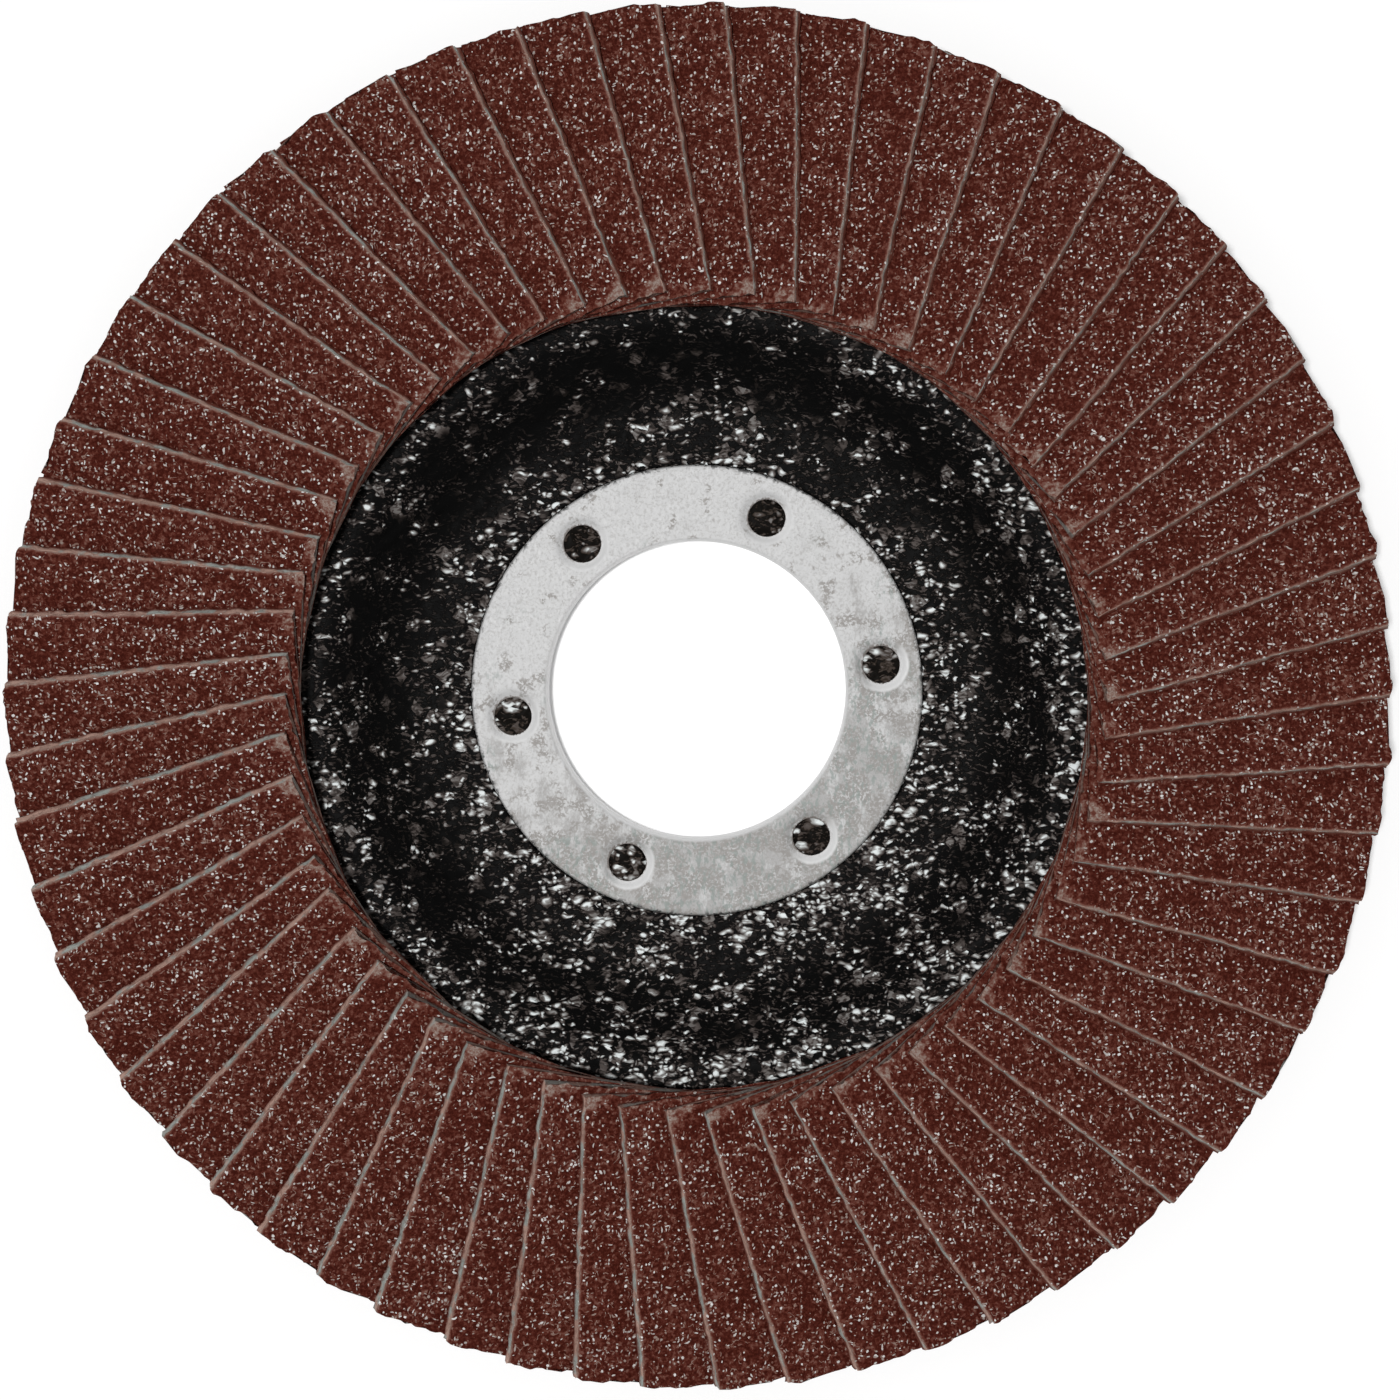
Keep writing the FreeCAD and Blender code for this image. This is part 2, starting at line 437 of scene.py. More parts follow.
class Shader:
    """The node tree of one material, written as expressions. Its patterns are in millimetres."""

    def __init__(self, name: str, holder: Optional[bpy.types.World] = None) -> None:
        """Starts an empty material, or takes over the tree of a world.

        Args:
            name: The material's name.
            holder: The world, if it is one.
        """
        self.material = holder or bpy.data.materials.new(name)
        self.material.use_nodes = True
        self.tree = self.material.node_tree
        self.tree.nodes.clear()
        place = self.node("ShaderNodeTexCoord").outputs["Object"]
        self.place = self.vector("SCALE", place, Scale=1 / MILLIMETRE)

    def node(self, kind: str, settings: Optional[dict[str, Any]] = None,
             sockets: Optional[dict[Union[str, int], Any]] = None) -> bpy.types.Node:
        """Adds one node.

        Args:
            kind: The node's type.
            settings: Properties, set before its sockets.
            sockets: Inputs by name or place: a value, a colour, a Value or an output socket.

        Returns:
            The node.
        """
        made = self.tree.nodes.new(kind)
        for name, setting in (settings or {}).items():
            if name == "stops":
                for _ in setting[2:]:
                    made.color_ramp.elements.new(0.5)
                for element, (position, colour) in zip(made.color_ramp.elements, setting):
                    element.position, element.color = position, (*colour, 1.0)
            else:
                setattr(made, name, setting)
        for name, given in (sockets or {}).items():
            source = given.socket if isinstance(given, Value) else given
            if isinstance(name, int):
                target = made.inputs[name]
            else:
                target = next(socket for socket in made.inputs if socket.name == name and socket.enabled)
            if isinstance(source, bpy.types.NodeSocket):
                self.tree.links.new(source, target)
            elif isinstance(source, tuple) and len(source) < len(target.default_value):
                target.default_value = (*source, 1.0)
            else:
                target.default_value = source
        return made

    def vector(self, operation: str, first: Any, second: Any = None, **named: Any) -> bpy.types.NodeSocket:
        """Vector Math on one or two vectors.

        Args:
            operation: The node's operation.
            first: The first vector.
            second: The second one, if any.
            named: Inputs by name.

        Returns:
            The resulting vector.
        """
        sockets = {0: first, **named}
        if second is not None:
            sockets[1] = second
        return self.node("ShaderNodeVectorMath", {"operation": operation}, sockets).outputs[0]

    def parts(self, source: bpy.types.NodeSocket) -> tuple[Value, Value, Value]:
        """The three numbers of a vector or colour."""
        outputs = self.node("ShaderNodeSeparateXYZ", {}, {0: source}).outputs
        return Value(self, outputs[0]), Value(self, outputs[1]), Value(self, outputs[2])

    def marks(self) -> tuple[Value, Value, Value]:
        """The three numbers that the piece's mesh carries at each point."""
        return self.parts(self.node("ShaderNodeAttribute", {"attribute_name": "marks"}).outputs["Vector"])

    def plan(self) -> tuple[Value, Value, Value]:
        """The place across and up, and the distance from the disc's axis."""
        across, up, _ = self.parts(self.place)
        return across, up, (across * across + up * up) ** 0.5

    def looked_at(self) -> Value:
        """1 on rays from the camera, a reflection or glass, and 0 on the rays that light the other pieces.

        Returns:
            That number.
        """
        path = self.node("ShaderNodeLightPath").outputs
        seen = Value(self, path["Is Camera Ray"]).or_more(Value(self, path["Is Glossy Ray"]))
        return seen.or_more(Value(self, path["Is Transmission Ray"]))

    def noise(self, size: float, detail: float = 0.0, place: Optional[bpy.types.NodeSocket] = None,
              roughness: float = 0.5) -> Value:
        """Cloudy noise about 0.5, with features of a size in millimetres."""
        sockets = {"Vector": place or self.place, "Scale": 1 / size, "Detail": detail, "Roughness": roughness}
        return Value(self, self.node("ShaderNodeTexNoise", {}, sockets).outputs[0])

    def cells(self, size: float, place: Optional[bpy.types.NodeSocket] = None, scatter: float = 1.0,
              metric: str = "EUCLIDEAN") -> tuple[Value, Value, Value]:
        """Random cells of a size in millimetres.

        Args:
            size: Spacing of the cells' centres.
            place: Where the pattern is read.
            scatter: 0 for a lattice, 1 for fully random centres.
            metric: How distance is measured.

        Returns:
            The distance to the nearest centre in cells, and two random numbers of that cell.
        """
        sockets = {"Vector": place or self.place, "Scale": 1 / size, "Randomness": scatter}
        outputs = self.node("ShaderNodeTexVoronoi", {"distance": metric}, sockets).outputs
        first, second, _ = self.parts(outputs["Color"])
        return Value(self, outputs["Distance"]), first, second

    def warped(self, reach: float, size: float) -> bpy.types.NodeSocket:
        """The place, pushed about by noise: up to half of reach each way, over a size in millimetres.

        Args:
            reach: How far the pattern is pushed in all.
            size: Size of the noise's features.

        Returns:
            The pushed place.
        """
        sockets = {"Vector": self.place, "Scale": 1 / size, "Detail": 1.0}
        push = self.node("ShaderNodeTexNoise", {}, sockets).outputs["Color"]
        centred = self.vector("SUBTRACT", push, (0.5, 0.5, 0.5))
        return self.vector("ADD", self.place, self.vector("SCALE", centred, Scale=reach))

    def mix(self, factor: Number, first: Hue, second: Hue) -> bpy.types.NodeSocket:
        """The first colour where the factor is 0, and the second where it is 1."""
        made = self.node("ShaderNodeMix", {"data_type": "RGBA"}, {"Factor": factor, "A": first, "B": second})
        return next(output for output in made.outputs if output.enabled)

    def shades(self, value: Value, stops: list[tuple[float, Colour]]) -> bpy.types.NodeSocket:
        """The colour at a value between stops of (value, colour)."""
        return self.node("ShaderNodeValToRGB", {"stops": stops}, {0: value}).outputs[0]

    def finish(self, colour: Hue, height: Value, depth: float, others: dict[str, Number]) -> bpy.types.Material:
        """Closes the tree with a principled surface.

        Args:
            colour: Base colour.
            height: Relief, from 0 to 1.
            depth: Depth of the relief in millimetres.
            others: The surface's other sockets by name.

        Returns:
            The material.
        """
        bump = self.node("ShaderNodeBump", {}, {"Height": height, "Distance": depth * MILLIMETRE, "Strength": 1.0})
        sockets = {"Base Color": colour, "Normal": bump.outputs[0], **others}
        surface = self.node("ShaderNodeBsdfPrincipled", {}, sockets)
        self.node("ShaderNodeOutputMaterial", {}, {"Surface": surface.outputs[0]})
        return self.material


# Finishes


@dataclass(frozen=True)
class ClothFinish:
    """Coated abrasive: dark red-brown resin over grit with painted glints, on cloth whose cut edges are pale and
    frayed.

    Every mark on the resin is a level from 0 to 1, and the tones give the colour of each level; the top levels are
    painted highlights.
    Resin covers the lower part of the cut edges. The foot of each cut edge is darkened as painted shade, and the
    pale cut shows less towards the right and top of the disc, which is painted shade too.
    """

    # The top tones are painted highlights: the colour of the grit's glints.
    tones: tuple[tuple[float, Colour], ...] = (
        (0.0, painted(54, 17, 10)),
        (0.1, painted(72, 29, 21)),
        (0.2, painted(90, 47, 38)),
        (0.3, painted(105, 68, 59)),
        (0.42, painted(121, 94, 85)),
        (0.52, painted(136, 117, 108)),
        (0.68, painted(158, 151, 147)),
        (1.0, painted(226, 226, 225)),
    )
    worn_pink: Colour = painted(182, 150, 137)
    worn_grey: Colour = painted(163, 169, 164)
    chip_level: float = 0.5
    edge_width: float = 0.13
    end_width: float = 0.1
    corner_width: float = 0.9
    grain_size: float = 0.3
    sliver_size: float = 0.27
    sliver_stretches: tuple[tuple[float, float, float], ...] = ((0.55, 1.3, 1.0), (1.3, 0.6, 1.0))
    # Lean of the painted shade on the cut edges, per millimetre across and up.
    shade_lean: tuple[float, float] = (0.0045, 0.0035)
    relief: float = 0.05
    specular: float = 0.03

    def grit(self, s: Shader, fine: Value) -> tuple[Value, Value]:
        """Grains, slivers of broken grain and short hairlines, painted as pale highlights that stand for glints in
        the resin.

        Args:
            s: The finish's shader.
            fine: The fine noise of the resin.

        Returns:
            The level over the whole surface, and the share of it that is grit.
        """
        more = 0.3 * (s.noise(2.2, 2.0) - 0.5)
        bent = s.warped(0.16, 0.3)
        from_grain, luck, kind = s.cells(self.grain_size, bent)
        # Painted highlights: pale dots, slivers and hairlines that stand for glints on the grit.
        painted_glints = (0.22 + 0.2 * kind - from_grain).ramp(-0.06, 0.1) * (luck + more).ramp(0.42, 1.1)
        for stretch in self.sliver_stretches:
            laid = s.vector("MULTIPLY", s.warped(0.8, 0.9), stretch)
            from_sliver, chance, _ = s.cells(self.sliver_size, laid)
            painted_glints = painted_glints.or_more((0.37 - from_sliver).ramp(-0.06, 0.14) * (chance + more).ramp(0.52, 1.12))
        worm = (s.noise(0.42) - 0.5).size().ramp(0.012, 0.05, 1.0, 0.0)
        strokes = worm * (s.noise(0.5, 0.0, s.vector("ADD", s.place, (7.0, 3.0, 5.0))) + more).ramp(0.6, 0.72)
        painted_glints = painted_glints.or_more(strokes * 0.5)
        haze = (s.noise(0.36, 2.0, bent) + more).ramp(0.44, 0.68) * (0.06 + 0.22 * kind)
        return (fine.ramp(0.32, 0.74, -0.02, 0.15) + haze).or_more(painted_glints), painted_glints

    def material(self) -> bpy.types.Material:
        """Builds the finish. The piece's marks are: distance from the inner end, from the free edge, and depth.

        Returns:
            The material.
        """
        s = Shader("abrasive_cloth")
        from_end, from_edge, depth = s.marks()
        across, up, _ = s.parts(s.place)
        fine = s.noise(0.2, 2.0, None, 0.7)
        level, painted_glints = self.grit(s, fine)
        fray = s.noise(0.3, 2.0)
        line = self.edge_width + 0.3 * (fray - 0.5)
        edge = (line - from_edge).ramp(-0.16, 0.14) * from_end.ramp(0.0, 3.0, 0.5, 1.0)
        level = level.or_more(edge * 0.46)
        corner = from_edge.ramp(0.0, 2.4, 1.0, 0.0) * s.noise(4.0).ramp(0.36, 0.6, 0.45, 1.2)
        tears = s.noise(0.7, 3.0, None, 0.65)
        chipped = (self.end_width + self.corner_width * corner + 2.6 * (tears - 0.5) - from_end).ramp(-0.5, 0.45)
        chip = (s.noise(0.45, 2.0) + 0.14 * corner).ramp(0.44, 0.66, 0.2, self.chip_level)
        level = level + (chip * fine.ramp(0.3, 0.65, 0.7, 1.15) - level) * chipped
        # Painted shade: the lower part of each cut edge darkens towards its foot, beside the next flap.
        level = level * depth.ramp(0.45, 0.75, 1.0, 0.45).or_more(from_end.ramp(0.02, 0.1, 1.0, 0.0))
        resin = s.shades(level, list(self.tones))
        wall = s.mix(s.noise(1.7, 2.0).ramp(0.46, 0.57), self.worn_pink, self.worn_grey)
        wall = s.mix((fray + 0.1 * depth).ramp(0.56, 0.72, 0.0, 0.5), wall, resin)
        # Resin covers the lower part of each cut edge; the lean makes the pale cut show less towards the right and
        # top of the disc, which is painted shade.
        run = depth + across * self.shade_lean[0] + up * self.shade_lean[1]
        cut = depth.ramp(0.02, 0.1) * run.ramp(0.36, 0.62, 1.0, 0.0) * from_end.ramp(0.02, 0.1, 0.55, 1.0)
        gloss = {"Roughness": 0.6 - 0.3 * painted_glints, "Specular IOR Level": self.specular}
        return s.finish(s.mix(cut, resin, wall), fine, self.relief, gloss)


@dataclass(frozen=True)
class LaminateFinish:
    """Black resin over woven glass: dark, with pale flakes where the fibre shows through, the brightest of them
    painted glints.
    """

    resin: Colour = painted(9, 9, 9)
    grey: Colour = painted(34, 30, 28)
    dull: Colour = painted(84, 77, 74)
    pale: Colour = painted(146, 145, 143)
    glint: Colour = painted(232, 238, 238)
    more: float = 0.0
    name: str = "fibre_laminate"
    hub_edge: float = 16.8
    foot: float = 22.5
    crown: float = 26.8
    flake_size: float = 0.56
    chip_size: float = 0.31
    sheet_size: float = 1.1
    relief: float = 0.12
    specular: float = 0.02

    def material(self) -> bpy.types.Material:
        """Builds the finish.

        Flakes are cells of two sizes, each with a brightness of its own that falls off from its centre; the
        brightest are painted highlights that stand for glints. They are thickest beside the ring, thin on the
        dish's wall, and back on its crown, and fewer
        towards the upper left: this is in part painted light, for those faces turn from the lamp. Between them lie
        larger, dull sheets of fibre and faint threads.

        Returns:
            The material.
        """
        s = Shader(self.name)
        across, up, radius = s.plan()
        # Painted light: the ramps by radius thin the flakes and glints on the dish's wall, and the term in across
        # and up thins them towards the upper left.
        near = radius.ramp(self.hub_edge, self.foot + 1.0, 0.18, -0.02)
        far = radius.ramp(self.crown - 2.5, self.crown + 1.0, -0.1, 0.12)
        clumps = s.noise(2.4, 2.0).ramp(0.3, 0.7, -0.14, 0.14)
        flake_and_glint_density = near.or_more(far) + clumps + (across * 0.5 - up) * 0.003 + self.more
        bent = s.warped(0.5, 0.6)
        laid = s.vector("MULTIPLY", s.warped(0.9, 1.2), (0.7, 1.45, 1.0))
        from_flake, luck, _ = s.cells(self.flake_size, laid)
        from_chip, chance, _ = s.cells(self.chip_size, s.vector("MULTIPLY", bent, (0.85, 1.2, 1.0)))
        from_sheet, share, _ = s.cells(self.sheet_size, s.warped(0.9, 1.0), 1.0, "MANHATTAN")
        grain = s.noise(0.3, 0.0, laid)
        flake = (luck + flake_and_glint_density).ramp(0.6, 1.15, 0.0, 1.2) - 1.3 * from_flake
        chip = (chance + flake_and_glint_density).ramp(0.7, 1.1, 0.0, 1.1) - 1.2 * from_chip
        amount = flake.or_more(chip) * grain.ramp(0.3, 0.5, 0.75, 1.15)
        sheet = (share + flake_and_glint_density).ramp(0.6, 1.0, 0.0, 0.46) * from_sheet.ramp(0.6, 0.8, 1.0, 0.0)
        amount = amount.or_more(sheet * s.noise(0.3, 1.0, laid).ramp(0.35, 0.6, 0.6, 1.05))
        threads = s.noise(0.32, 2.0, laid, 0.6).ramp(0.48, 0.66, 0.0, 0.34) * (0.85 + 2.0 * flake_and_glint_density).ramp(0.0, 1.0)
        amount = amount.or_more(threads)
        # The glint stop is a painted highlight.
        stops = [(0.0, self.resin), (0.1, self.resin), (0.24, self.grey), (0.4, self.dull), (0.6, self.pale)]
        colour = s.shades(amount, [*stops, (0.9, self.glint)])
        gloss = {"Roughness": amount.ramp(0.3, 0.9, 0.45, 0.3), "Specular IOR Level": self.specular}
        return s.finish(colour, amount, self.relief, gloss)


@dataclass(frozen=True)
class SteelFinish:
    """Zinc plated sheet: light, cloudy and satin, with resin on its outer edge, and painted light and shade:
    lighter on top, a highlight on the bend into the bore, bright crescents and dark rims at the holes.
    """

    bright: Colour = painted(170, 170, 170)
    grey: Colour = painted(142, 141, 140)
    stain: Colour = painted(112, 121, 117)
    speck: Colour = painted(124, 121, 118)
    # A painted highlight: the bright crescent beside each hole.
    crescent_highlight: Colour = painted(184, 184, 184)
    # A painted highlight on the bend into the bore.
    rounded: Colour = painted(222, 222, 222)
    smear: Colour = painted(30, 29, 28)
    # A painted shade, for the holes' rims and walls.
    hole_shade: Colour = painted(66, 55, 48)
    hub_edge: float = 16.8
    bore_edge: float = 11.4
    relief: float = 0.02

    def material(self) -> bpy.types.Material:
        """Builds the finish.

        The piece's marks are: distance from a hole's edge, how far it faces the lamp, and 1 on a hole's wall.

        Returns:
            The material.
        """
        s = Shader("plated_steel")
        gap, facing, wall = s.marks()
        across, up, radius = s.plan()
        drawn = s.vector("MULTIPLY", s.place, (1.0, 0.5, 1.0))
        cloud = s.noise(1.6, 3.0, drawn, 0.6)
        fine = s.noise(0.22, 2.0, drawn, 0.7)
        # Painted light: lighter towards the top and left, darker towards the bottom and right; specks and stains
        # gather on the darker side.
        painted_light_slant = (up * 0.014 - across * 0.006).ramp(-0.2, 0.2, -0.1, 0.1)
        texture = cloud * 0.6 + fine * 0.4
        colour = s.mix((texture + painted_light_slant).ramp(0.38, 0.52), self.grey, self.bright)
        patch = (s.noise(1.5, 2.0) - painted_light_slant).ramp(0.48, 0.62)
        specks = (s.noise(0.22, 2.0, s.warped(0.4, 0.5), 0.7) + 0.1 * patch).ramp(0.5, 0.62)
        colour = s.mix(specks * (0.35 + 0.65 * patch), colour, self.speck)
        blots, region = s.noise(0.34, 2.0, drawn, 0.7), s.noise(4.0, 1.0) - 1.5 * painted_light_slant
        colour = s.mix(blots.ramp(0.49, 0.62) * region.ramp(0.5, 0.65) * 0.7, colour, self.stain)
        # Painted highlight: a bright crescent at each hole's edge, on the side that faces the lamp.
        rim = (gap + 0.3 * (cloud - 0.5)).ramp(0.5, 0.75, 1.0, 0.0) * facing.ramp(-0.4, 0.6, 0.1, 1.0)
        colour = s.mix(rim, colour, self.crescent_highlight)
        # Painted shade: a dark brown band at each hole's edge, darkest on the side away from the lamp, and dark
        # hole walls.
        brown = (gap + 0.5 * (fine - 0.5)).ramp(0.04, 0.16, 0.8, 0.0) * facing.ramp(-0.4, 0.5, 1.0, 0.3)
        colour = s.mix(brown.or_more(wall), colour, self.hole_shade)
        # Painted highlight on the bend into the bore.
        colour = s.mix(radius.ramp(self.bore_edge - 0.25, self.bore_edge, 1.0, 0.0), colour, self.rounded)
        flecks = s.noise(0.36, 1.0).ramp(0.57, 0.62) * radius.ramp(self.hub_edge - 0.4, self.hub_edge - 0.05)
        colour = s.mix(flecks * 0.85, colour, self.smear)
        gloss = {"Roughness": 0.5 + 0.16 * fine, "Metallic": 0.3 - 0.25 * flecks}
        return s.finish(colour, texture, self.relief, gloss)


@dataclass(frozen=True)
class ResinFinish:
    """Cured adhesive: dark brown, uneven and half glossy."""

    dark: Colour = painted(34, 20, 16)
    brown: Colour = painted(72, 46, 36)
    relief: float = 0.2
    specular: float = 0.4

    def material(self) -> bpy.types.Material:
        """Builds the finish.

        Returns:
            The material.
        """
        s = Shader("cured_resin")
        cloud = s.noise(0.9, 3.0, None, 0.6)
        colour = s.mix(cloud.ramp(0.38, 0.66), self.dark, self.brown)
        gloss = {"Roughness": 0.45 + 0.2 * cloud, "Specular IOR Level": self.specular}
        return s.finish(colour, cloud, self.relief, gloss)


# Pieces


@dataclass(frozen=True)
class Wave:
    """One wave of a quantity round the disc: how often it repeats, its height, and where it is highest."""

    order: int
    height: float
    crest: float

    def at(self, angle: float) -> float:
        """The wave's value at an angle in degrees."""
        return self.height * math.cos(self.order * math.radians(angle) - math.radians(self.crest))


def swing(waves: tuple[Wave, ...], angle: float) -> float:
    """Sum of some waves at an angle in degrees."""
    return sum(wave.at(angle) for wave in waves)


@dataclass
class FlapPack:
    """The flaps: pieces of stiff cloth that overlap all the way round, each with its free edge clockwise.

    They were laid by hand: each is slid and turned a little in its own plane, by waves that go slowly round the
    disc and by chance. Angles of drift and lean are in degrees. Their inner ends are slid, and their outer ends
    trimmed, a little off centre.
    """

    disc: float = 101.6
    count: int = 62
    width: float = 15.4
    length: float = 21.4
    thickness: float = 0.8
    gap: float = 0.05
    offset: float = 6.95
    first_angle: float = 7.5
    slope: float = 5.0
    shown: float = 5.8
    spacing: float = 0.2
    bevel: float = 0.14
    bevel_width: float = 0.2
    flare: float = 0.08
    skew: float = 0.058
    skewed: float = 6.0
    grain: tuple[Layer, ...] = (Layer(0.05, 0.55), Layer(0.035, 0.3, (100.0, 0.0)))
    edge: tuple[Layer, ...] = (Layer(0.07, 6.0, (0.0, 40.0)), Layer(0.07, 0.7, (0.0, 60.0)))
    tear: tuple[Layer, ...] = (Layer(0.1, 0.9, (0.0, 80.0)), Layer(0.1, 0.4, (0.0, 90.0)))
    tufts: Layer = Layer(0.07, 0.5, (0.0, 15.0))
    wear: Layer = Layer(0.6, 1.1, (0.0, 20.0))
    curl: Layer = Layer(0.03, 9.0, (0.0, 30.0))
    drift: tuple[Wave, ...] = (Wave(0, 0.15, 0.0), Wave(1, 0.74, 79.0), Wave(2, 0.27, -90.0), Wave(3, 0.16, -36.0))
    lean: tuple[Wave, ...] = (Wave(0, -0.2, 0.0), Wave(1, 1.25, -33.0), Wave(2, 0.36, 86.0))
    slide: tuple[Wave, ...] = (Wave(1, 0.33, -87.0),)
    trim: tuple[Wave, ...] = (Wave(0, -0.13, 0.0), Wave(1, 0.33, -62.0))
    drift_scatter: float = 0.17
    lean_scatter: float = 0.55
    pivot: float = 11.3
    seed: int = 11

    def cross_section(self) -> tuple[Array, Array, Array]:
        """Points of the loop round a flap's section, from the free edge over the top, and back underneath.

        Returns:
            Distance from the free edge, depth below the top face, and 1 where the point is on the top.
        """
        bevel = np.array([0.0, 0.07, 0.15, 0.26])
        fine = np.arange(2 * self.spacing, self.shown, self.spacing)
        coarse = np.linspace(self.shown, self.width, 5)
        top = np.concatenate([bevel, fine, coarse])
        under = self.width * np.array([1.0, 0.7, 0.4, 0.15, 0.03, 0.0])
        wall = self.thickness * np.array([0.78, 0.56, 0.36, 0.16])
        across = np.concatenate([top, under, np.zeros(len(wall))])
        depth = np.concatenate([np.zeros(len(top)), np.full(len(under), self.thickness), wall])
        on_top = np.concatenate([np.ones(len(top)), np.zeros(len(under) + len(wall))])
        return across, depth, on_top

    def worn(self, rough: Roughening, out: Array, across: Array, depth: Array, on_top: Array) -> Array:
        """Where the points of a worn flap lie along, across and above its flat shape.

        The top is raised by random grain, and bevelled along the free edge. That edge wanders and frays, which
        fades inwards as an exponential. The two ends are ragged, and the outer one is skewed and rounded.

        Args:
            rough: The flap's own random heights.
            out: Distance of each point from the inner end.
            across: Distance from the free edge.
            depth: Depth below the top face.
            on_top: 1 where the point is on the top.

        Returns:
            Distance outwards, distance across and height, stacked.
        """
        near_edge = np.exp(-across / 1.2)
        end = np.minimum(out, self.length - out)
        near_end = np.exp(-end / 0.25) * np.sign(out - self.length / 2)
        ragged = near_end * rough.heights(across, 2 * depth, *self.tear)
        skewed = self.skew * np.minimum(across, self.skewed) * smoothstep(self.length - 2.0, self.length, out)
        rounded = -0.15 * np.exp(-across / 0.3) * smoothstep(self.length - 0.6, self.length, out)
        frayed = rough.heights(out, 0.0, *self.edge) * near_edge
        wall = rough.heights(out, 3 * depth, self.tufts) - self.flare * (depth / self.thickness) ** 4
        inside = smoothstep(0.0, 0.3, across) * smoothstep(0.0, 0.3, end)
        lift = rough.heights(out, across, *self.grain) * (0.35 + 0.65 * inside)
        wear = 1.0 + rough.heights(out, 0.0, self.wear)
        bevel = self.bevel * np.exp(-((across / self.bevel_width) ** 2)) * wear
        curl = rough.heights(out, 0.0, self.curl) * np.exp(-across / 2.5) - 0.06 * (depth > 0.7) * near_edge
        side = across + frayed + np.where((on_top < 0.5) & (across < 0.1), wall, 0.0)
        return np.stack([out + ragged + skewed + rounded, side, on_top * (lift - bevel) + curl - depth])

    def flap(self, index: int) -> Surface:
        """One flap in its place: its section's loop repeated along it, then slid, turned and tilted.

        Args:
            index: The flap's place in the pack, anticlockwise.

        Returns:
            The flap's surface, with marks: distance from the inner end, from the free edge, and depth.
        """
        seed = self.seed * 1000 + index
        draw = np.random.default_rng(seed)
        rows = round(self.length / self.spacing) + 1
        along = np.linspace(0.0, self.length, rows)[:, None]
        out, across, depth, on_top = np.broadcast_arrays(along, *self.cross_section())
        outward, side, height = self.worn(Roughening(seed), out, across, depth, on_top)
        step = 360 * index / self.count
        lean = math.radians(swing(self.lean, step) + draw.normal(0.0, self.lean_scatter))
        drift = math.radians(draw.normal(0.0, self.drift_scatter))
        slid, trimmed = swing(self.slide, step), swing(self.trim, step)
        arm = outward - self.pivot + slid + (trimmed - slid) * out / self.length
        local_x = self.pivot - self.length + arm * math.cos(lean) - side * math.sin(lean)
        local_y = arm * math.sin(lean) + side * math.cos(lean) + drift * (self.reach() - self.length + self.pivot)
        local = np.stack([local_x, local_y, height], axis=-1).reshape(-1, 3)
        placed = local @ self.stance().T + np.array([self.reach(), -self.offset, self.rise()])
        columns = across.shape[1]
        section, last = list(range(columns)), (rows - 1) * columns
        caps = [section, [last + corner for corner in reversed(section)]]
        marks = np.stack([out, across, depth], axis=-1).reshape(-1, 3)
        surface = Surface(placed, grid_quads(rows, columns, Coverage.CLOSED)[:, ::-1], caps, marks)
        return surface.turned(math.radians(self.first_angle + step + swing(self.drift, step)))

    def reach(self) -> float:
        """Distance of the flaps' outer ends from the axis, along the flap."""
        return math.sqrt((self.disc / 2) ** 2 - self.offset**2)

    def tilt(self) -> float:
        """Tilt of the flaps in radians: at their inner ends they are packed to their own thickness.

        Returns:
            The tilt.
        """
        step = 2 * math.pi / self.count
        pitch = self.thickness + self.gap + math.tan(math.radians(self.slope)) * step * self.width / 2
        return math.asin(pitch / (step * (self.reach() - self.length)))

    def stance(self) -> Array:
        """Turn of a flap: down to its buried edge by the tilt, then down to the rim by the slope.

        Returns:
            The turn as a matrix.
        """
        tilt, slope = self.tilt(), math.radians(self.slope)
        across, drop = math.cos(tilt), math.sin(tilt)
        along, fall = math.cos(slope), math.sin(slope)
        about_x = np.array([[1, 0, 0], [0, across, drop], [0, -drop, across]])
        about_y = np.array([[along, 0, fall], [0, 1, 0], [-fall, 0, along]])
        return about_y @ about_x

    def rise(self) -> float:
        """Height of a flap's free outer corner, from the top of the CAD flaps, which is their inner corner."""
        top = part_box("flap_pair_01")[1][2] / MILLIMETRE
        return top - self.length * math.sin(math.radians(self.slope))

    def build(self, finish: bpy.types.Material) -> None:
        """Makes the pairs, each a flap and the one half a turn from it, in place of the CAD pairs.

        Args:
            finish: Its material.
        """
        half = self.count // 2
        for index in range(half):
            pair = self.flap(index).joined(self.flap(index + half))
            made = pair.piece(f"cloth_pair_{index + 1:02d}", 45.0)
            settle(made, Slot.CLOTH, finish, f"flap_pair_{index + 1:02d}")


